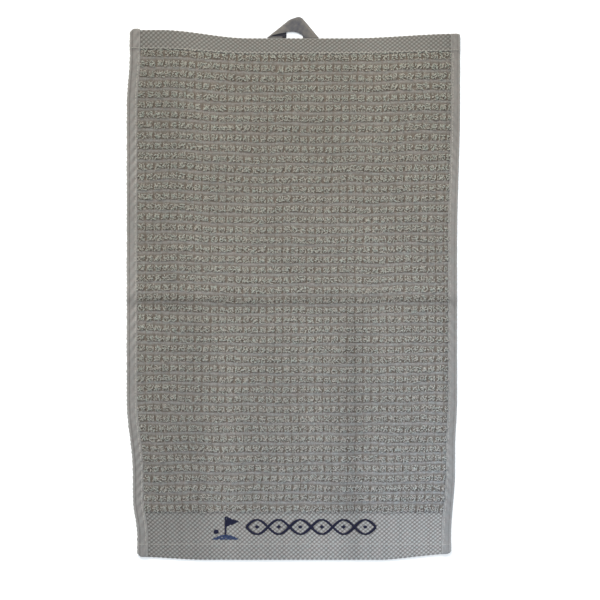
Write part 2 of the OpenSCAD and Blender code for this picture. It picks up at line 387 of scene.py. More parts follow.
    bp = N.new("ShaderNodeBump")
    bp.inputs["Strength"].default_value = bump
    bp.inputs["Distance"].default_value = bump_size
    L.new(noise(bump_scale, 3.0, 0.65), bp.inputs["Height"])
    last = bp
    if weave:
        for axis, pitch in zip(("X", "Y"), weave):
            w = N.new("ShaderNodeTexWave")
            w.bands_direction = axis
            w.inputs["Scale"].default_value = 0.31416 / (pitch * MM)
            w.inputs["Distortion"].default_value = 0.6
            w.inputs["Detail"].default_value = 1.0
            L.new(P, w.inputs["Vector"])
            b2 = N.new("ShaderNodeBump")
            b2.inputs["Strength"].default_value = 0.35
            b2.inputs["Distance"].default_value = weave_depth
            L.new(w.outputs["Fac"], b2.inputs["Height"])
            L.new(last.outputs[0], b2.inputs["Normal"])
            last = b2
    L.new(last.outputs[0], b.inputs["Normal"])
    return m


def lin(r, g, b, k=1.0):
    f = lambda c: ((c / 255 + 0.055) / 1.055) ** 2.4 if c / 255 > 0.04045 else c / 255 / 12.92
    return tuple(k * f(c) for c in (r, g, b))


M_pile = fabric("terry_yarn", lin(158, 157, 145), lin(167, 169, 170), fine=0.14, fine_scale=420, blotch=0.04,
                rough=0.92, sheen=0.25, bump=0.5, bump_scale=3800, bump_size=0.00010, shade_col=lin(123, 112, 100),
                shade_col_cool=lin(123, 118, 113), hue=0.05)
M_ground = fabric("ground_weave", lin(119, 115, 109), lin(133, 135, 139), fine=0.20, fine_scale=620, blotch=0.05,
                  rough=0.95, sheen=0.15, weave=(0.55, 0.62), weave_depth=0.00006, shade_col=lin(94, 84, 73),
                  shade_col_cool=lin(96, 91, 86), hue=0.03)
M_border = fabric("dobby_weave", lin(160, 157, 148, 0.65), lin(187, 189, 191, 0.71), fine=0.07, fine_scale=1100, blotch=0.04,
                  rough=0.88, sheen=0.2, weave=(0.5, 0.5), weave_depth=0.00005, shade_col=lin(112, 104, 97, 0.47),
                  shade_col_cool=lin(112, 108, 107, 0.60), dull=0.82, hue=0.03)
M_hem = fabric("plain_weave", lin(148, 143, 136, 0.77), lin(160, 161, 163, 0.77), fine=0.07, fine_scale=800, blotch=0.06,
               rough=0.88, sheen=0.2, weave=(0.42, 0.5), weave_depth=0.00005, shade_col=lin(104, 97, 92, 0.62),
               shade_col_cool=lin(108, 107, 110, 0.62), dull=0.86, hue=0.02)
M_thread = fabric("sewing_thread", lin(180, 175, 163, 0.95), lin(186, 185, 183, 0.98), fine=0.08, fine_scale=1500, blotch=0.03,
                  rough=0.62, sheen=0.2, bump=0.4, bump_scale=5200, spec=0.4)
M_tape = fabric("loop_tape_face", lin(112, 106, 98, 1.0), fine=0.08, fine_scale=900, blotch=0.05, rough=0.82, sheen=0.15,
                bump=0.3, bump_scale=3000, weave=(0.45, 0.45), weave_depth=0.00005, shade_col=lin(74, 74, 78, 0.85))
# painted shadow: a near-black shade colour for the legs' upper faces under the arch
M_tape_shadow = fabric("loop_tape_painted_shadow", lin(112, 106, 98, 1.0), fine=0.10, fine_scale=900, blotch=0.05, rough=0.85, sheen=0.1,
                   bump=0.3, bump_scale=3000, weave=(0.45, 0.45), weave_depth=0.00005, shade_col=lin(38, 37, 43))
M_navy = fabric("navy_rayon", lin(19, 22, 56, 0.62), fine=0.20, fine_scale=900, blotch=0.05, rough=0.50, sheen=0.0,
                bump=0.35, bump_scale=5200, spec=0.28)
M_blue = fabric("blue_rayon", lin(44, 62, 100, 0.70), fine=0.16, fine_scale=900, blotch=0.05, rough=0.50, sheen=0.0,
                bump=0.35, bump_scale=5200, spec=0.28)
M_fleece = fabric("backing_fleece", lin(158, 157, 152, 1.0), fine=0.10, fine_scale=500, blotch=0.04, rough=0.97, sheen=0.2,
                  bump=0.5, bump_scale=1500, bump_size=0.0002)


# ---------------------------------------------------------------- waffle rows and columns
P0, P1 = 0.982, 1.018  # row pitch, foot to head, as a share of the mean
RV_MAX = ROWS - 1 + BAND


def row_frac(rv):
    k = (P1 - P0) / RV_MAX
    full = P0 * RV_MAX + 0.5 * k * RV_MAX**2
    return (P0 * rv + 0.5 * k * rv * rv) / full


def field_xy(cu, rv):
    """The place of column number cu and row number rv on the cloth."""
    f = row_frac(rv)
    y0 = FIELD_BOT + (TOP - 14.5 - FIELD_BOT) * f
    x = in_left(y0) + (in_right(y0) - in_left(y0)) * cu / COLS
    edge = np.clip(np.minimum(cu, COLS - cu) / 2.0, 0, 1)
    x = x + edge * 0.55 * wob(y0 * 1.3, 40 + x * 0.2)
    y = FIELD_BOT + (field_top(x) - FIELD_BOT) * f
    end = np.clip(np.minimum(rv, RV_MAX - rv) / 1.5, 0, 1)
    y = y + end * 0.5 * wob(x, y0)
    return x, y


# The woven ground, which the pile stands on
us = np.unique(np.round(np.concatenate([[0, COLS]] + [c + np.array([0, 0.09, 0.5, 0.91]) for c in range(39)]), 4))
us = us[(us >= 0) & (us <= COLS)]
vs = np.concatenate([r + np.array([0.0, 0.07, 0.40, 0.67, 0.755, 0.92]) for r in range(ROWS)])
vs = vs[vs <= RV_MAX + 1e-6]
CU, RV = np.meshgrid(us, vs)
gx, gy = field_xy(CU, RV)
fu, fv = CU % 1.0, RV % 1.0
in_band = (fv <= 0.69)
near_gap = np.minimum(fu, 1 - fu) < 0.03
hu = 1 - np.abs(2 * fu - 1) ** 4
hv = 1 - np.abs(2 * np.clip(fv / BAND, 0, 1) - 1) ** 4
z_top = np.where(in_band, 1.25 + 0.55 * hu * hv, 1.56 + 0.13 * mid_wave(gx * 3.1, gy * 3.1) - 0.10 * (fv < 0.80))
z_top = np.where(in_band & near_gap, 0.85, z_top)
z_top = np.where(~in_band & near_gap, 1.48, z_top)
z_top = np.where((fv < 0.02) | (np.abs(fv - 0.67) < 0.01), 1.28, z_top)
z_top = np.where((RV > RV_MAX - 0.12) | (RV < 0.02), 1.62, z_top)
z_bot = np.where(in_band, 0.82, 0.46)
z_bot = np.where(in_band & near_gap, 0.62, z_bot)
# the lips of each channel wander a little
grng = np.random.default_rng(5)
lip = np.clip(0.26 * grng.normal(size=(2, ROWS + 1, len(us))), -0.38, 0.38)
ui = np.broadcast_to(np.arange(len(us))[None], RV.shape)
ri = np.floor(RV + 1e-9).astype(int)
mid_rows = (RV > 0.5) & (RV < RV_MAX - 0.05)
gy = gy + np.where(mid_rows & (fv > 0.60) & (fv < 0.80), lip[0, ri, ui], 0)
gy = gy + np.where(mid_rows & (fv > 0.80), lip[1, ri, ui], 0) + np.where(mid_rows & (fv < 0.02), lip[1, ri - 1, ui], 0)
L0 = lift(gx, gy)
# the margins run under the hems and borders
gx = np.where(CU <= 1e-6, gx - 0.9, np.where(CU >= COLS - 1e-6, gx + 0.9, gx))
gy = np.where(RV <= 1e-6, gy - 0.9, np.where(RV >= RV_MAX - 1e-6, gy + 0.9, gy))
# painted shade: the ground's tone is darkest in the gaps between cells and under the pile, dark along each row's lower
# edge under the loops, half dark along its upper edge and the channel's lower part, and lightest in the open channels;
# the back is darker under the cells and gaps
tone_g = np.where(in_band, 0.12, 0.92)
tone_g = np.where(fv < 0.02, 0.34, tone_g)
tone_g = np.where(np.abs(fv - 0.67) < 0.01, 0.44, tone_g)
tone_g = np.where((RV > RV_MAX - 0.12) | (RV < 0.02), 0.75, tone_g)
tone_g = np.where(in_band & near_gap, 0.0, tone_g)
tone_g = np.where(~in_band & (fv < 0.80), 0.74, tone_g)
tone_g = np.where(~in_band & near_gap, 0.62 * tone_g, tone_g)
tone_g = np.clip(tone_g * (1 + 0.22 * fine_wave(gx * 1.9, gy * 1.9)), 0, 1.1)
ground = sheet_mesh("waffle_cloth", np.stack([gx, gy, z_top + L0], 2), np.stack([gx, gy, z_bot + L0], 2), [M_ground],
                    tone=tone_g, tone_in=np.where(in_band, 0.25, 0.9) * np.where(near_gap, 0.6, 1.0))
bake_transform(ground)
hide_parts("upper_waffle_field", "lower_waffle_field")


# ---------------------------------------------------------------- terry loops
K, SIDES = 9, 4
phi = np.radians(np.linspace(-52, 232, K - 2))
LOOP_A = np.concatenate([[0.42], np.cos(phi), [-0.42]])
LOOP_B = np.concatenate([[-1.0], np.sin(phi), [-1.0]])


def loops_for(cells):
    """Paths of the pile loops on a list of (column, row) cells."""
    cells = np.asarray(cells, float)
    nu, nv = 3, 4
    iu, iv = np.meshgrid((np.arange(nu) + 0.5) / nu, (np.arange(nv) + 0.5) / nv)
    iu, iv = iu.ravel(), iv.ravel()
    n = len(cells)
    k = len(iu)
    U = iu[None] + rng.uniform(-0.12, 0.12, (n, k))
    V = iv[None] + rng.uniform(-0.10, 0.10, (n, k))
    U = U + 0.05 * (np.arange(k) // nu % 2 * 2 - 1)
    col, row = cells[:, :1], cells[:, 1:]
    U, V = np.clip(U, 0, 1), np.clip(V, 0, 1)
    half = 0.375 + 0.045 * (1 - V)
    size = 1 + 0.07 * rng.normal(size=(n, 1))
    cu = col + 0.5 + 0.035 * rng.normal(size=(n, 1)) + (2 * U - 1) * half * size
    rv = row + 0.07 + 0.030 * rng.normal(size=(n, 1)) + (BAND - 0.24) * V
    rv = rv - np.where(V < 0.3, 0.06 * rng.random((n, k)), 0) + np.where(V > 0.8, 0.05 * rng.random((n, k)), 0)
    # the outer rows and columns spread over the borders and hems
    rv = rv + np.where(row > ROWS - 1.5, 0.20 * V, 0) - np.where(row < 0.5, 0.16 * (1 - V), 0)
    cu = cu - np.where(col < 0.5, 0.14 * (1 - U) * rng.uniform(0, 1.6, (n, 1)), 0)
    keep = (cu < COLS + 0.02).ravel()
    hx, hy = field_xy(cu, rv)
    hx, hy = hx.ravel(), hy.ravel()
    m = len(hx)
    fu_, fv_ = (cu % 1.0).ravel(), ((rv % 1.0) / BAND).ravel()
    mound = 1.05 + 0.60 * (1 - np.abs(2 * fu_ - 1) ** 3) * (1 - np.abs(2 * np.clip(fv_, 0, 1) - 1) ** 3)
    # which way each loop leans: mostly down the cloth and out from the cell's middle
    al = rng.normal(-90, 75, m) + 25 * (fu_ - 0.5) + np.where(V.ravel() > 0.72, 140 * rng.random(m), 0)
    al = np.radians(al)
    stem = rng.uniform(0.95, 1.35, m)
    leanf = np.clip(rng.beta(3.2, 1.5, m), 0.2, 0.98)
    run = stem * leanf
    dx, dy = np.cos(al) * run, np.sin(al) * run
    dz = np.sqrt(np.maximum(stem**2 - run**2, 0.03))
    rad = rng.uniform(0.62, 1.02, m)
    vv = np.stack([dx, dy, dz], 1) / stem[:, None]
    tw = rng.normal(0, 0.45, m)
    w0 = np.stack([-np.sin(al), np.cos(al), np.zeros(m)], 1)
    nn = np.cross(w0, vv)
    W = w0 * np.cos(tw)[:, None] + nn * np.sin(tw)[:, None]
    W /= np.linalg.norm(W, axis=1, keepdims=True)
    NN = np.cross(W, vv)
    NN /= np.linalg.norm(NN, axis=1, keepdims=True)
    base = np.stack([hx - dx, hy - dy, mound - 0.25], 1)
    cen = base + vv * stem[:, None]
    a = LOOP_A[None] * rad[:, None] * (1 + 0.12 * rng.normal(size=(m, K)))
    bb = np.where(LOOP_B[None] <= -1.0, -stem[:, None], LOOP_B[None] * rad[:, None] * rng.uniform(0.85, 1.2, (m, 1)))
    a[:, 0], a[:, -1] = 0.32, -0.32
    c = 0.22 * rng.normal(size=(m, 1)) * np.linspace(-1, 1, K)[None] + 0.05 * rng.normal(size=(m, K))
    P = cen[:, None] + a[:, :, None] * W[:, None] + bb[:, :, None] * vv[:, None] + c[:, :, None] * NN[:, None]
    z = P[:, :, 2]
    z = np.where(z > 2.9, 2.9 + 0.75 * np.tanh((z - 2.9) / 0.75), z)
    z = np.where(z < 0.75, 0.75, z)
    P[:, :, 2] = z + lift(P[:, :, 0], P[:, :, 1])
    R = rng.uniform(0.31, 0.39, (m, 1)) * (1 + 0.06 * rng.normal(size=(m, K)))
    # painted shade: each loop darkens towards its feet, and low loops more, as shade among the pile
    head = np.clip((P[:, :, 2] - lift(P[:, :, 0], P[:, :, 1]) - 1.0) / 1.5, 0, 1)
    tone = np.array([0.0, 0.5, 0.85, 1, 1, 1, 0.85, 0.5, 0.0])[None] * (0.45 + 0.55 * head) * rng.uniform(0.80, 1.12, (m, 1))
    return P[keep], R[keep], NN[keep], np.clip(tone, 0, 1.15)[keep]


KB = 7
phi_b = np.radians(np.linspace(-25, 205, KB - 2))
BACK_A = np.concatenate([[0.40], np.cos(phi_b), [-0.40]])
BACK_B = np.concatenate([[-0.8], np.sin(phi_b), [-0.8]])
BACK_Z = np.array([1.05, 0.66, 0.50, 0.46, 0.50, 0.66, 1.05])


def back_loops(cells):
    """Paths of the short loops on the back, which lie flat."""
    cells = np.asarray(cells, float)
    iu, iv = np.meshgrid((np.arange(3) + 0.5) / 3, (np.arange(4) + 0.5) / 4)
    n, k = len(cells), 12
    U = iu.ravel()[None] + brng.uniform(-0.12, 0.12, (n, k))
    V = iv.ravel()[None] + brng.uniform(-0.12, 0.12, (n, k))
    col, row = cells[:, :1], cells[:, 1:]
    cu = col + 0.5 + (2 * U - 1) * 0.42
    rv = row + 0.06 + 0.03 * brng.normal(size=(n, 1)) + (BAND - 0.10) * V
    keep = (cu < COLS - 0.05).ravel()
    hx, hy = field_xy(cu, rv)
    hx, hy = hx.ravel(), hy.ravel()
    m = len(hx)
    al = np.radians(brng.normal(-90, 70, m))
    rad = brng.uniform(0.55, 0.90, m)[:, None]
    a = BACK_A[None] * rad * (1 + 0.12 * brng.normal(size=(m, KB)))
    b = (BACK_B[None] * rad + 0.35) * brng.uniform(0.8, 1.25, (m, 1))
    x = hx[:, None] - np.sin(al)[:, None] * a + np.cos(al)[:, None] * b
    y = hy[:, None] + np.cos(al)[:, None] * a + np.sin(al)[:, None] * b
    tilt = 0.16 * brng.normal(size=(m, 1)) * np.linspace(-1, 1, KB)[None]
    z = np.clip(BACK_Z[None] + tilt + 0.05 * brng.normal(size=(m, KB)), 0.36, 1.1)
    P = np.stack([x, y, z + lift(x, y)], 2)
    R = brng.uniform(0.28, 0.34, (m, 1)) * np.ones((1, KB))
    ref = np.zeros_like(P[:, 0])
    ref[:, 2] = 1.0
    # painted shade: the back loops darken towards their feet, where they go into the cloth
    tone = np.clip((1.1 - z) / 0.55, 0, 1) * brng.uniform(0.75, 1.1, (m, 1))
    return P[keep], R[keep], ref[keep], np.clip(tone, 0, 1.1)[keep]


brng = np.random.default_rng(21)


def pile(name, rows, body=None):
    cells = [(c, r) for r in rows for c in range(39)]
    P, R, ref, tone = loops_for(cells)
    ob = tubes(name, P, R, ref, SIDES, [M_pile], tone=tone)
    P, R, ref, tone = back_loops(cells)
    nap = tubes(name.replace("pile", "back_pile"), P, R, ref, 3, [M_pile], tone=tone)
    if body:
        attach(nap, body)
    else:
        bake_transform(nap)
    if body:
        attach(ob, body)
    else:
        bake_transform(ob)
    return ob


def row_y(r):
    return float(field_xy(np.array(19.0), np.array(float(r)))[1])


lower_rows = [r for r in range(ROWS) if row_y(r + BAND) < FOLD - 6.3]
upper_rows = [r for r in range(ROWS) if row_y(r) > FOLD + 6.3]
fold_rows = [r for r in range(ROWS) if r not in lower_rows and r not in upper_rows]
for i, part in enumerate(np.array_split(lower_rows, 5)):
    pile(f"pile_lower_{i + 1}", [int(r) for r in part], "lower_half")
for i, part in enumerate(np.array_split(upper_rows, 5)):
    pile(f"pile_upper_{i + 1}", [int(r) for r in part], "upper_half")
pile("pile_fold", fold_rows)


# ---------------------------------------------------------------- borders
def diamonds(x, s, px, py):
    """Height of the woven diamonds, from 0 in the grooves to 1 on the dots."""
    p, q = x / px + s / py, x / px - s / py
    c = np.cos(np.pi * (p - np.round(p))) * np.cos(np.pi * (q - np.round(q)))
    return np.power(np.maximum(c, 0), 0.8)


def border(name, yf, ye, sign, px, py, long_, single_until, hem_len, slots, relief):
    """A border turned to the back. yf(x) is its inner line and ye(x) its outer edge; sign is +1 at the top of the towel."""
    dx, ds = px / 6, py / 6
    nx = int(2 * 141.5 / dx)
    t = 0.92  # one layer
    r_out = 1.0
    ns_front = int(round((long_ - r_out) / ds))
    ns_back = int(round((hem_len - r_out) / 0.85))
    wrap_n = 7
    cols = np.linspace(0, 1, nx)
    ymid = 0.5 * (TOP - 7 if sign > 0 else BOT + 20) * 2
    x = (in_left(ymid) - 0.4) + (in_right(ymid) - in_left(ymid) + 0.8) * cols
    if sign < 0:
        pass
    front_s = np.arange(ns_front + 1) * ds  # distance from the wrap's start, towards the field
    rows_o, rows_i, tones = [], [], []
    yf_, ye_ = yf(x), ye(x)
    stretch = (np.abs(ye_ - yf_) - r_out) / front_s[-1]
    # front run, from the field to the wrap
    for s in front_s[::-1]:
        y = ye_ - sign * (r_out + s * stretch)
        xx = edge_x(x, y, ymid)
        hemmed = ramp((HEM_LINE + 14 - y) / 16.0) if single_until else np.ones_like(x)
        z0 = 1.08 * hemmed + 0.0
        lf = lift(xx, y)
        back_up = backing_room(xx, y) if sign < 0 else 0.0
        # the diamonds' height also sets the tone: darker in the grooves and lighter on the dots, partly the weave's own
        # pattern and partly painted shade
        dd = diamonds(x, s * np.ones_like(x) + 1.57, px, py)
        h = relief * dd
        tones.append(dd)
        tk = 1.15 + 0.0 * x
        edge_soft = 0.05 * fine_wave(xx, y)
        rows_o.append(np.stack([xx, y, z0 + tk - 0.30 + h + lf + edge_soft], 1))
        rows_i.append(np.stack([xx, y, np.maximum(z0 + 0.04, back_up) + lf], 1))
    # the turn
    for j in range(1, wrap_n):
        th = math.pi * j / wrap_n
        s = -r_out * th
        dd = diamonds(x, s * np.ones_like(x) + 1.57, px, py)
        h = relief * dd * 0.8
        tones.append(dd)
        rr = r_out + h - 0.30
        y = ye_ - sign * r_out + sign * np.sin(th) * rr
        z = 1.02 + np.cos(th) * rr
        xx = edge_x(x, ye_ - sign * r_out, ymid)
        lf = lift(xx, y)
        rows_o.append(np.stack([xx, y, z + lf], 1))
        ri = 0.05
        rows_i.append(np.stack([xx, ye_ - sign * r_out + sign * np.sin(th) * ri, 1.02 + np.cos(th) * ri + lf], 1))
    # the hem behind
    back_s = np.linspace(0, hem_len - r_out, ns_back + 1)
    for s in back_s:
        y = ye_ - sign * (r_out + s)
        xx = edge_x(x, y, ymid)
        lf = lift(xx, y)
        press = tape_press(xx, y) if sign > 0 else 0.0
        dd = diamonds(x, -s * np.ones_like(x), px, py)
        h = 0.06 * dd
        tones.append(dd)
        rows_o.append(np.stack([xx, y, np.maximum(0.08 + 0.06 - h, press) + lf + 0 * x], 1))
        rows_i.append(np.stack([xx, y, 0.99 + lf + 0 * x], 1))
    ob = sheet_mesh(name, np.array(rows_o), np.array(rows_i), [M_border], tone=np.array(tones), tone_in=0.6 * np.array(tones) + 0.3)
    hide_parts(*slots)
    return ob


def edge_x(x, y, ymid):
    """Follows the sides of the cloth as they draw in."""
    a, b = in_left(ymid) - 0.4, in_right(ymid) + 0.4
    u = (x - a) / (b - a)
    return (in_left(y) - 0.4) + (in_right(y) - in_left(y) + 0.8) * u


def backing_room(x, y):
    inside = ramp((80.5 - np.abs(x)) / 2.0) * ramp((EMB_Y + 13 - y) / 2.0) * ramp((y - (EMB_Y - 14.5)) / 2.0)
    return 0.42 * inside


END_L, END_R = -16.4, 15.3


def tape_press(x, y):
    k = 0.0
    for c in (END_L, END_R):
        k = np.maximum(k, ramp((7.6 - np.abs(x - c)) / 1.2))
    return 0.74 * k


top_b = border("top_border_cloth", field_top, top_y, 1, 4.39, 3.26, 14.5, 0, 14.8, ("top_border", "top_hem"), 0.46)
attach(top_b, "upper_half")
bot_b = border("bottom_border_cloth", lambda x: FIELD_BOT + 0 * x, bottom_y, -1, 4.23, 3.79, 44.5, 14.5, 15.0,
               ("bottom_border", "bottom_hem"), 0.46)
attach(bot_b, "lower_half")


# ---------------------------------------------------------------- side hems
def hem_z(y, yt):
    """Middle height and thickness of the side hem's front run."""
    c = np.maximum(ramp((y - (yt - 2.5)) / 5.0), ramp((HEM_LINE + 2.5 - y) / 5.0))
    return 1.02 + 1.12 * c, 1.92 - 0.36 * c


def side_hem(name, side, slots):
    """side is -1 for the left hem and +1 for the right one."""
    outer = left_x if side < 0 else right_x
    width = 9.5 if side < 0 else 8.5
    yt = YL if side < 0 else YR
    tc = 1.56
    r_mid = 0.5 * tc
    step = 0.92
    xm = float(outer(TOP)) - side * width / 2
    xb = float(outer(BOT)) - side * width / 2
    y_top_edge = float(top_y(xm))
    y_bot_edge = float(bottom_y(xb))
    # the path in the y, z plane: back run, turn, front run, turn, back run
    yc_t, yc_b = y_top_edge - tc, y_bot_edge + tc
    path = []
    for y in np.linspace(yt - 0.2, yc_t, 15):
        path.append((y, r_mid, 0, -1, tc))
    for j in range(1, 8):
        th = math.pi * j / 8
        path.append((yc_t + r_mid * math.sin(th), tc - r_mid * math.cos(th), math.sin(th), -math.cos(th), tc))
    ys = np.linspace(yc_t, yc_b, int((yc_t - yc_b) / step))
    zs, ts = hem_z(ys, yt)
    for y, z, t in zip(ys, zs, ts):
        path.append((y, z + (0.0 if t > 1.7 else 0.20), 0, 1, t))
    for j in range(1, 8):
        th = math.pi * j / 8
        path.append((yc_b - r_mid * math.sin(th), tc + r_mid * math.cos(th), -math.sin(th), math.cos(th), tc))
    for y in np.linspace(yc_b, HEM_LINE, 14):
        path.append((y, r_mid, 0, -1, tc))
    path = np.array(path)
    arc = np.concatenate([[0], np.cumsum(np.hypot(np.diff(path[:, 0]), np.diff(path[:, 1])))])
    # across: the front from the inner edge out, round the fold, and back in
    nf, nw, nb = 34, 6, 12
    a_front = np.linspace(width, 0.95, nf)
    a_back = np.linspace(0.95, width, nb)
    rows_o, rows_i, tone_o, tone_i = [], [], [], []
    rim_noise = np.random.default_rng(11 if side < 0 else 12)
    S = arc
    big = 1.0 if side < 0 else 0.35
    scal = big * (0.75 * np.abs(np.sin(np.pi * S / 3.8 + 0.8 * np.sin(S / 17.0))) + 0.20 * rim_noise.normal(size=len(S)))
    scal = np.convolve(scal, [0.25, 0.5, 0.25], "same")
    tug = 0.5 + 0.5 * np.cos(2 * np.pi * S / 9.03 + 1.2 * np.sin(S / 31.0))
    for i, (y, z, ny, nz, t) in enumerate(path):
        h = t / 2
        ycl = min(max(y, y_bot_edge), y_top_edge)
        x_out = float(outer(y))
        bow = 0.0
        if y > yt - 3 or y < HEM_LINE + 3:
            # the edge of the cloth slopes here, so the strip follows it
            bow = 1.0
        o, q = [], []

        def put(lst, a, c):
            """a from the outer edge, c out of the strip."""
            xx = x_out - side * a
            dy = 0.0
            if bow:
                if y > 0:
                    dy = (float(top_y(xx)) - y_top_edge) * float(ramp((y - yt + 3) / 8.0))
                    if side < 0:
                        dy += 1.15 * math.exp(-(((a - 5.6) / 3.6) ** 4)) * float(ramp((y - yt - 4) / 9.0))
                    dy -= (1.6 if side < 0 else 0.6) * math.exp(-((a / 1.5) ** 2)) * float(ramp((y - yt - 4) / 9.0))
                else:
                    dy = (float(bottom_y(xx)) - y_bot_edge) * float(ramp((HEM_LINE + 3 - y) / 8.0))
                    dy += (2.6 if side < 0 else 1.7) * math.exp(-((a / 1.7) ** 2)) * float(ramp((y_bot_edge + 9.0 - y) / 8.0))
            lst.append((xx, y + dy + c * ny, z + c * nz))

        f = 1.0 if abs(nz) > 0.9 and nz > 0 else 0.6
        pk = (1.0 if side < 0 else 0.45) * (0.65 + 0.35 * math.sin(S[i] / 23.0 + 2.0))
        to, ti = [], []
        for a in a_front:
            rib = 0.055 * math.cos(2 * math.pi * a / 1.02)
            groove = -(0.26 if side < 0 else 0.14) * math.exp(-(((a - 2.15) / 0.60) ** 2))
            rim = 0.12 * math.exp(-(((a - 0.9) / 0.7) ** 2)) * (1 + 2.0 * (scal[i] - 0.15))
            stitch = -0.17 * math.exp(-(((a - (width - 2.0)) / 0.5) ** 2))
            pale = (0.16 if side < 0 else 0.05) * ramp((a - (width - 3.0)) / 0.8)
            diag = math.sin(2 * math.pi * (S[i] + 1.3 * a) / 9.03 + 1.2 * math.sin(S[i] / 31.0))
            puck = pk * (0.20 * diag * math.exp(-(((a - width + 2.0) / 3.0) ** 2)) + 0.07 * diag)
            soft = 0.06 * float(fine_wave(a * 2 + 300 * side, S[i]))
            roll = -0.28 * max(0.0, (a - (width - 0.9)) / 0.9) ** 2
            put(o, a, h + f * (rib + groove + rim + stitch + puck + soft) + roll)
            # painted shade and highlight: the front's tone follows its relief, darker in the groove and along the
            # stitching, lighter on the rim, ribs and pucker crests, and paler towards the inner edge
            to.append(0.78 + 2.6 * rib + 1.7 * groove + 1.6 * rim + 1.2 * stitch + 1.3 * puck + 0.7 * soft + float(pale))
        for j in range(1, nw):
            th = math.pi * j / nw
            rr = h + 0.02
            put(o, 0.95 - math.sin(th) * (0.95 + f * (scal[i] - 0.12)), math.cos(th) * rr)
            to.append(0.85 + 0.6 * (scal[i] - 0.15))
        for a in a_back:
            put(o, a, -h + 0.04 * math.cos(2 * math.pi * a / 1.02) + 0.03)
            to.append(0.8 - 0.15 * math.cos(2 * math.pi * a / 1.02))
        for a in a_front:
            put(q, max(a, 1.1), 0.03)
        for j in range(1, nw):
            put(q, 1.05, 0.03 - 0.06 * j / nw)
        for a in a_back:
            put(q, max(a, 1.1), -0.03)
        rows_o.append(o)
        rows_i.append(q)
        tone_o.append(to)
    O, Q = np.array(rows_o), np.array(rows_i)
    for G in (O, Q):
        G[:, :, 2] += lift(G[:, :, 0], G[:, :, 1])
        G[:, :, 2] = np.maximum(G[:, :, 2], 0.02)
    ob = sheet_mesh(name, O, Q, [M_hem], tone=np.array(tone_o), tone_in=np.full(Q.shape[:2], 0.7))
    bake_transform(ob)
    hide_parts(*slots)
    return ob


left_hem = side_hem("left_side_hem", -1, ("left_hem_upper", "left_hem_lower"))
right_hem = side_hem("right_side_hem", 1, ("right_hem_upper", "right_hem_lower"))


# ---------------------------------------------------------------- stitching
def along(pts, pitch, gap):
    """Start and end points of stitches along a line of points."""
    pts = np.asarray(pts, float)
    s = np.concatenate([[0], np.cumsum(np.linalg.norm(np.diff(pts, axis=0), axis=1))])
    n = int(s[-1] / pitch)
    k = np.arange(n) * (s[-1] / n)
    f = lambda q: np.stack([np.interp(q, s, pts[:, i]) for i in range(pts.shape[1])], 1)
    return f, k, s[-1] / n, gap


def stitch_line(name, pts, pitch, gap, radius, rise, mats, sides=6, jitter=0.08):
    """pts are (x, y, z) points on the surface. Each stitch comes up, lies over and goes down."""
    f, k, p, g = along(pts, pitch, gap)
    kk = 6
    t = np.linspace(0, 1, kk)
    n = len(k)
    j = rng.normal(0, jitter, (n, 2))
    S = k[:, None] + g / 2 + (p - g) * t[None]
    P = f(S.ravel()).reshape(n, kk, 3)
    P[:, :, 2] += (rise * (1.35 * np.sin(np.pi * np.clip(t, 0.0, 1.0)) ** 0.6 - 0.45))[None]
    P[:, :, 0] += j[:, :1] + 0.0
    P[:, :, 1] += j[:, 1:]
    R = radius * np.array([0.75, 1, 1, 1, 1, 0.75])
    return tubes(name, P, R[None], (0.0123, 0.0171, 1.0), sides, mats)


def hem_surface(side, y, a):
    yt = YL if side < 0 else YR
    z, t = hem_z(y, yt)
    return z + np.where(t > 1.7, 0.0, 0.20) + t / 2


ys = np.linspace(YL - 1.5, HEM_LINE + 1.5, 500)
xs = in_left(ys) - 2.0
sl = stitch_line("left_side_stitches", np.stack([xs, ys, hem_surface(-1, ys, 2) - 0.06 + lift(xs, ys)], 1), 2.7, 0.35,
                 0.21, 0.20, [M_thread])
ys = np.linspace(YR - 1.5, HEM_LINE + 1.5, 500)
xs = in_right(ys) + 2.0
sr = stitch_line("right_side_stitches", np.stack([xs, ys, hem_surface(1, ys, 2) - 0.06 + lift(xs, ys)], 1), 2.7, 0.35,
                 0.21, 0.20, [M_thread])
for o, n in ((sl, "left"), (sr, "right")):
    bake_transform(o)
    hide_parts(f"{n}_seam_upper", f"{n}_seam_lower")


def cross_line(yline, x0, x1, inner_z):
    x = np.linspace(x0, x1, 400)
    y = yline(x)
    l_in, r_in = in_left(y), in_right(y)
    z = np.where(x < l_in, hem_surface(-1, y, 2), np.where(x > r_in, hem_surface(1, y, 2), inner_z))
    z = np.convolve(np.concatenate([[z[0]] * 3, z, [z[-1]] * 3]), np.ones(7) / 7, "valid")
    return np.stack([x, y, z + lift(x, y)], 1)


XL_T, XR_T = float(left_x(YL)) + 1.3, float(right_x(YR)) - 1.3
st = stitch_line("top_stitches", cross_line(lambda x: field_top(x) + 1.2, XL_T, XR_T, 2.02), 2.6, 0.35, 0.19, 0.20,
                 [M_thread])
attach(st, "upper_half")
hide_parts("top_seam")
sb = stitch_line("bottom_stitches",
                 cross_line(lambda x: HEM_LINE - 0.6 + 0 * x, float(left_x(HEM_LINE)) + 1.3,
                            float(right_x(HEM_LINE)) - 1.3, 2.02), 2.6, 0.35, 0.17, 0.16, [M_thread])
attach(sb, "lower_half")
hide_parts("bottom_seam")


# ---------------------------------------------------------------- hanging loop
FOOT_Y = 228.1


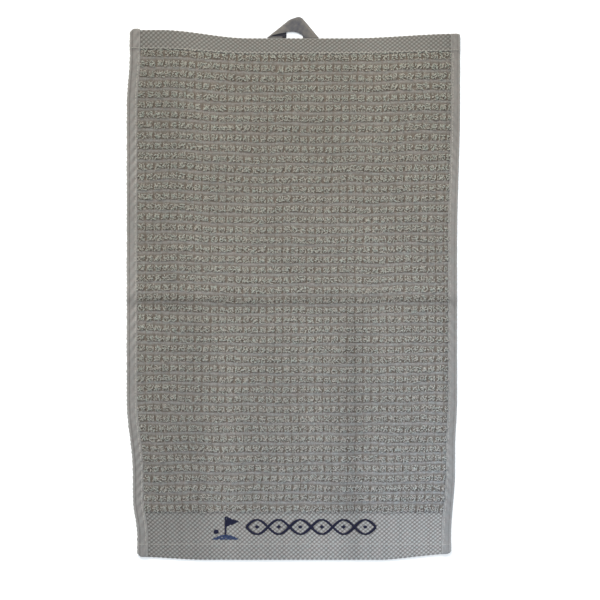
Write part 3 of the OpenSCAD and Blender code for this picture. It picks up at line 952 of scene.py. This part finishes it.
def fillet(a, p, b, r, n):
    a, p, b = (np.array(v, float) for v in (a, p, b))
    u, v = (a - p) / np.linalg.norm(a - p), (b - p) / np.linalg.norm(b - p)
    h = math.acos(float(u @ v)) / 2
    m = (u + v) / np.linalg.norm(u + v)
    c = p + m * r / math.sin(h)
    s, e = p + u * r / math.tan(h) - c, p + v * r / math.tan(h) - c
    a0 = math.atan2(s[1], s[0])
    tu = math.atan2(s[0] * e[1] - s[1] * e[0], float(s @ e))
    return [c + r * np.array([math.cos(a0 + tu * i / n), math.sin(a0 + tu * i / n)]) for i in range(n + 1)]


def resample(pts, n):
    pts = np.array(pts, float)
    s = np.concatenate([[0], np.cumsum(np.linalg.norm(np.diff(pts, axis=0), axis=1))])
    q = np.linspace(0, s[-1], n)
    return np.stack([np.interp(q, s, pts[:, 0]), np.interp(q, s, pts[:, 1])], 1)


tip = (6.2, 247.7)
shoulder = (-3.4, 244.4)
outer_edge = ([(-23.9, FOOT_Y - 0.2), (-23.9, FOOT_Y)] + fillet((-23.9, FOOT_Y), shoulder, tip, 16.0, 6)
              + fillet(shoulder, tip, (22.8, FOOT_Y), 5.2, 12) + [(22.8, FOOT_Y), (22.8, FOOT_Y - 0.2)])
inner_edge = ([(-23.2, FOOT_Y - 0.1)] + [(-19.0, 230.6), (-12.5, 232.1), (-6.5, 233.0)]
              + [(-4.6, 233.6), (0.5, 233.7)] + [(3.4, 233.0), (7.4, 230.9), (11.2, FOOT_Y)])
ns, nt_ = 132, 30
oe, ie = resample(outer_edge, ns), resample(inner_edge, ns)
tt = np.linspace(0, 1, nt_)
G = oe[:, None] * (1 - tt)[None, :, None] + ie[:, None] * tt[None, :, None]
s_ = np.linspace(0, 1, ns)[:, None]
T_ = tt[None, :]
# the tape arches off the table, and rolls a little along both edges
arch = 0.95 + 0.55 * np.sin(np.pi * s_) + 0.35 * np.exp(-(((s_ - 0.22) / 0.12) ** 2)) * T_
rollz = -0.25 * (np.exp(-((T_ / 0.06) ** 2)) + np.exp(-(((1 - T_) / 0.06) ** 2)))
crease = 0.18 * np.sin(6.0 * s_ * np.pi + 2.2 * T_) * np.exp(-(((s_ - 0.5) / 0.22) ** 2))
twill = 0.035 * np.sin(2 * np.pi * (G[:, :, 0] * 0.8 + G[:, :, 1]) / 0.9)
zz = arch + rollz + crease + twill
feet = np.maximum(ramp((0.10 - s_) / 0.10), ramp((s_ - 0.90) / 0.10))
zz = zz * (1 - feet) + feet * (0.72 + rollz + twill)
# low near the feet, so the loop clears the border when it is swung over
zz = np.minimum(zz, 0.46 + 0.150 * np.maximum(G[:, :, 1] - FOOT_Y, 0))
topz = np.concatenate([G, zz[:, :, None]], 2)
botz = np.concatenate([G, (zz - 0.34)[:, :, None]], 2)
# painted shade: the tape's colour is darkened through the middle of the arch, which turns away from the light, and kept
# light on both edges, which catch it
shade_t = np.interp(G[:, :, 0], [-24, -17, -9, -2, 5, 12, 18, 23], [0.95, 0.90, 0.62, 0.20, 0.18, 0.45, 0.78, 0.70])
shade_t = shade_t + 0.45 * np.exp(-((T_ / 0.16) ** 2)) + 0.10 * mid_wave(G[:, :, 0] * 9, G[:, :, 1] * 9)
shade_t = np.clip(shade_t, 0, 1.05)
tape = sheet_mesh("loop_tape_arch", topz, botz, [M_tape], tone=shade_t, tone_in=0.5 + 0 * shade_t)
# the turned-under left leg: its upper face is painted near-black as the shadow under the arch, and its lower face keeps
# the tape's colour
lx = np.linspace(-22.4, -6.5, 34)
up = np.interp(lx, [-22.4, -19.0, -12.5, -6.5], [228.5, 230.8, 232.3, 233.3]) + 0.7
rows_t, rows_b = [], []
for k in np.linspace(0, 1, 14):
    y = (FOOT_Y - 0.15) * (1 - k) + up * k
    z = 0.24 + 0.03 * np.sin(lx * 1.9 + k * 3) + 0.08 * k
    rows_t.append(np.stack([lx + 0.15 * math.sin(k * 3), y, z], 1))
    rows_b.append(np.stack([lx + 0.15 * math.sin(k * 3), y, z - 0.18], 1))
leg = sheet_mesh("loop_tape_leg", np.array(rows_t), np.array(rows_b), [M_tape_shadow], tone=np.zeros((14, 34)),
                 tone_in=np.full((14, 34), 0.85))
# and a sliver of the right one
lx = np.linspace(8.6, 19.6, 24)
up = np.interp(lx, [8.6, 11.0, 19.6], [230.4, 229.9, 228.5]) + 0.5
rows_t, rows_b = [], []
for k in np.linspace(0, 1, 6):
    y = (FOOT_Y - 0.15) * (1 - k) + up * k
    z = 0.22 + 0.02 * np.sin(lx * 1.7 + k * 3) + 0.05 * k
    rows_t.append(np.stack([lx, y, z], 1))
    rows_b.append(np.stack([lx, y, z - 0.18], 1))
leg = join("loop_tape_leg", leg, sheet_mesh("tape_leg_r", np.array(rows_t), np.array(rows_b), [M_tape_shadow],
                                            tone=np.zeros((6, 24)), tone_in=np.full((6, 24), 0.85)))
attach(tape, "loop")
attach(leg, "loop")
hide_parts("hanging_loop")
# woven edges of the tape
for nm, e, tpos in (("loop_tape_edge_outer", oe, 0), ("loop_tape_edge_inner", ie, -1)):
    pth = np.concatenate([e, zz[:, tpos][:, None] - 0.17], 1)
    eo = tubes(nm, pth[None], np.array([[0.25]]), (0, 0, 1), 6, [M_tape])
    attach(eo, "loop")

# the two ends of the tape, flat behind the border
ends = []
for c in (END_L, END_R):
    ex = np.linspace(c - 6.4, c + 6.4, 22)
    ey = np.linspace(TOP - 14.0 + 0.4, FOOT_Y - 0.15, 24)
    X, Y = np.meshgrid(ex, ey)
    tw = 0.03 * np.sin(2 * np.pi * (X * 0.8 + Y) / 0.9)
    lf = lift(X, Y)
    ends.append(sheet_mesh("tape_end", np.stack([X, Y, 0.66 + tw * 0 + lf], 2), np.stack([X, Y, 0.10 + tw + lf], 2), [M_tape]))
tape_ends = join("loop_tape_ends", *ends)
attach(tape_ends, "upper_half")
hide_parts("loop_ends")
# where the tape turns over the edge of the border, between its sewn ends and the loop
turns = []
for a, b in ((-22.5, -10.1), (9.1, 21.8)):
    ex = np.linspace(a, b, 22)
    ey = np.linspace(FOOT_Y - 1.5, FOOT_Y + 1.2, 19)
    X, Y = np.meshgrid(ex, ey)
    tw = 0.02 * np.sin(2 * np.pi * (X * 0.8 + Y) / 0.9)
    # painted shade: the turns sit half in the shade colour
    turns.append(sheet_mesh("tape_turn", np.stack([X, Y, 0.36 + tw], 2), np.stack([X, Y, 0.06 + tw], 2), [M_tape],
                            tone=np.full(X.shape, 0.5), tone_in=np.full(X.shape, 0.8)))
turns = join("loop_tape_turns", *turns)
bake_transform(turns)


# ---------------------------------------------------------------- embroidery
def border_top(x, y):
    return 1.08 * ramp((HEM_LINE + 14 - y) / 16.0) + 1.05 + lift(x, y)


def satin(name, mid, half, rad, rise, mats, zoff=0.0, sides=5, k=6):
    """Threads laid side by side. mid (n, 2) is each thread's middle, half (n, 2) its half length as a vector."""
    mid, half = np.asarray(mid, float), np.asarray(half, float)
    n = len(mid)
    t = np.linspace(-1, 1, k)
    XY = mid[:, None] + half[:, None] * t[None, :, None]
    z = border_top(XY[:, :, 0], XY[:, :, 1]) + (rise * (1 - t**4) - 0.18)[None] + np.broadcast_to(np.asarray(zoff), (n,))[:, None]
    z = z + 0.04 * rng.normal(size=(n, 1))
    P = np.concatenate([XY, z[:, :, None]], 2)
    R = rad * (1 - 0.35 * t**6)
    return tubes(name, P, R[None], (0.011, 0.017, 1.0), sides, mats)


# the interlaced band
band = []
BX0, BL, BH, NW = -43.0, 118.0, 6.5, 6
for sgn in (1, -1):
    t = np.linspace(0, 1, 6000)
    x = BX0 + t * BL
    y = EMB_Y + 0.5 + sgn * BH * np.sin(math.pi * NW * t)
    s = np.concatenate([[0], np.cumsum(np.hypot(np.diff(x), np.diff(y)))])
    q = np.arange(0.2, s[-1] - 0.2, 0.40)
    xi, yi, ti = np.interp(q, s, x), np.interp(q, s, y), np.interp(q, s, t)
    dxy = np.stack([np.gradient(xi), np.gradient(yi)], 1)
    dxy /= np.linalg.norm(dxy, axis=1, keepdims=True)
    nrm = np.stack([-dxy[:, 1], dxy[:, 0]], 1)
    nrm = nrm + 0.25 * dxy
    nrm /= np.linalg.norm(nrm, axis=1, keepdims=True)
    # thin where the line turns down and full where it climbs, as a pen stroke
    wdt = 0.72 + 0.80 * np.abs(dxy[:, 1]) + 0.05 * rng.normal(size=len(q))
    over = 0.30 * (0.5 + 0.5 * sgn * np.cos(math.pi * NW * ti))
    band.append(satin("band", np.stack([xi, yi], 1), nrm * wdt[:, None], 0.235, 0.55, [M_navy], over))
for i in range(NW):
    cx, cy = BX0 + BL * (i + 0.5) / NW, EMB_Y + 0.5
    k = np.arange(-2.0, 2.01, 0.36)
    half = np.stack([0 * k, 2.15 - np.abs(k)], 1) * 0.98
    band.append(satin("band", np.stack([cx + k, cy + 0 * k], 1), half + np.array([0, 0.05]), 0.22, 0.5, [M_navy]))
band = join("embroidered_band_thread", *band)

flag = []
# the staff and its pennant
k = np.arange(EMB_Y - 6.2, EMB_Y + 10.1, 0.38)
flag.append(satin("f", np.stack([FLAG_X + 0 * k, k], 1), np.stack([0.95 + 0 * k, 0.12 + 0 * k], 1), 0.225, 0.62, [M_navy]))
k = np.arange(FLAG_X + 1.1, FLAG_X + 12.2, 0.40)
u = (k - (FLAG_X + 0.9)) / 11.6
lo_, hi_ = EMB_Y - 0.2 + 5.4 * u, EMB_Y + 10.2 - 5.0 * u
flag.append(satin("f", np.stack([k, (lo_ + hi_) / 2], 1), np.stack([0.3 + 0 * k, np.maximum((hi_ - lo_) / 2, 0.3)], 1), 0.235, 0.42,
                  [M_navy], k=9))
# the ball
k = np.arange(-2.15, 2.2, 0.38)
flag.append(satin("f", np.stack([FLAG_X - 8.5 + k, EMB_Y - 3.9 + 0 * k], 1),
                  np.stack([0 * k + 0.05, np.sqrt(2.3**2 - k**2) + 0.05], 1), 0.225, 0.6, [M_navy]))
flag = join("emblem_flag_thread", *flag)
# the green under them
green = []
for y in np.arange(EMB_Y - 10.8, EMB_Y - 6.75, 0.40):
    d = y - (EMB_Y - 26.5)
    w = math.sqrt(19.9**2 - d * d)
    n = max(1, int(round(2 * w / 6.0)))
    cuts = np.linspace(-w, w, n + 1)
    sh = 0.0 if n == 1 else (rng.uniform(-0.6, 0.6, n + 1))
    cuts = cuts + np.concatenate([[0], np.ones(n - 1), [0]]) * sh
    a, b_ = cuts[:-1], cuts[1:]
    green.append((np.stack([FLAG_X + (a + b_) / 2, np.full(n, y)], 1), np.stack([(b_ - a) / 2 + 0.1, np.full(n, 0.06)], 1)))
mid = np.concatenate([g[0] for g in green])
hf = np.concatenate([g[1] for g in green])
green = satin("emblem_green_thread", mid, hf, 0.235, 0.40, [M_blue], k=8)
for o, n, s in ((band, "embroidered_band", "navy_thread"), (flag, "emblem_flag", "navy_thread"),
                (green, "emblem_green", "blue_thread")):
    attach(o, "lower_half")
    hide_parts(n)

# backing behind the embroidery, and the bobbin thread on it
bx = np.linspace(-79, 79, 120)
by = np.linspace(EMB_Y - 13, EMB_Y + 11.5, 26)
X, Y = np.meshgrid(bx, by)
rag = 0.25 * fine_wave(X * 1.3, Y * 1.3)
ok = (np.abs(X) > 78.9) | (np.abs(Y - EMB_Y + 0.75) > 12.2)
X2, Y2 = X + np.where(ok, 0.35 * fine_wave(Y * 2, X), 0), Y + np.where(ok, 0.35 * fine_wave(X * 2, Y), 0)
lf = lift(X, Y)
back = sheet_mesh("backing_sheet", np.stack([X2, Y2, 0.38 + 0 * X + lf], 2),
                  np.stack([X2, Y2, 0.17 + 0.05 * rag + lf], 2), [M_fleece])
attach(back, "lower_half")
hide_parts("embroidery_backing")
bob = []
for sgn in (1, -1):
    t = np.linspace(0, 1, 4000)
    x = BX0 + t * BL
    y = EMB_Y + 0.5 + sgn * BH * np.sin(math.pi * NW * t)
    s = np.concatenate([[0], np.cumsum(np.hypot(np.diff(x), np.diff(y)))])
    q = np.arange(0.4, s[-1] - 0.4, 0.8)
    xi, yi = np.interp(q, s, x), np.interp(q, s, y)
    n = len(q)
    d = np.stack([0.25 * rng.normal(size=n), 0.5 + 0.2 * rng.random(n)], 1)
    tk = np.linspace(-1, 1, 4)
    XY = np.stack([xi, yi], 1)[:, None] + d[:, None] * tk[None, :, None]
    z = 0.13 + lift(XY[:, :, 0], XY[:, :, 1])
    bob.append(tubes("b", np.concatenate([XY, z[:, :, None]], 2), np.array([[0.10] * 4]), (0.01, 0.02, 1), 4, [M_thread]))
bob = join("bobbin_thread", *bob)
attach(bob, "lower_half")

# ---------------------------------------------------------------- floor, light, camera
me = bpy.data.meshes.new("floor")
e = 9.0
me.from_pydata([(-e, -e, -0.0003), (e, -e, -0.0003), (e, e, -0.0003), (-e, e, -0.0003)], [], [(0, 1, 2, 3)])
floor = bpy.data.objects.new("floor", me)
bpy.context.scene.collection.objects.link(floor)
fm = bpy.data.materials.new("pale_floor")
fm.use_nodes = True
fb = fm.node_tree.nodes["Principled BSDF"]
fb.inputs["Base Color"].default_value = (0.97, 0.97, 0.97, 1)
fb.inputs["Roughness"].default_value = 0.9
fb.inputs["Specular IOR Level"].default_value = 0.1
me.materials.append(fm)

world = bpy.data.worlds.new("studio")
bpy.context.scene.world = world
world.use_nodes = True
bg = world.node_tree.nodes["Background"]
bg.inputs[0].default_value = (0.90, 0.95, 1.0, 1)
bg.inputs[1].default_value = 0.95


def softbox(name, loc, target, size, watts, colour):
    d = bpy.data.lights.new(name, "AREA")
    d.shape = "SQUARE"
    d.size = size
    d.energy = watts
    d.color = colour
    o = bpy.data.objects.new(name, d)
    bpy.context.scene.collection.objects.link(o)
    from mathutils import Vector
    v = Vector(target) - Vector(loc)
    o.location = loc
    o.rotation_mode = "QUATERNION"
    o.rotation_quaternion = v.to_track_quat("-Z", "Y")
    return o


softbox("key", (-0.75, 2.9, 2.3), (0, 0, 0), 1.3, 140, (1.0, 0.968, 0.91))
softbox("fill", (1.3, -1.4, 2.0), (0, 0, 0), 1.4, 14, (0.90, 0.95, 1.0))

cam = bpy.data.cameras.new("camera")
cam.sensor_width = 36
HGT = 2.0
cam.lens = 36 * (HGT - 0.002) / 0.5455
cam.clip_start, cam.clip_end = 0.05, 50
co = bpy.data.objects.new("camera", cam)
co.location = (0.0059, -0.01045, HGT)
co.rotation_euler = (0, 0, 0)
bpy.context.scene.collection.objects.link(co)
bpy.context.scene.camera = co
bpy.context.scene.view_settings.view_transform = "Standard"
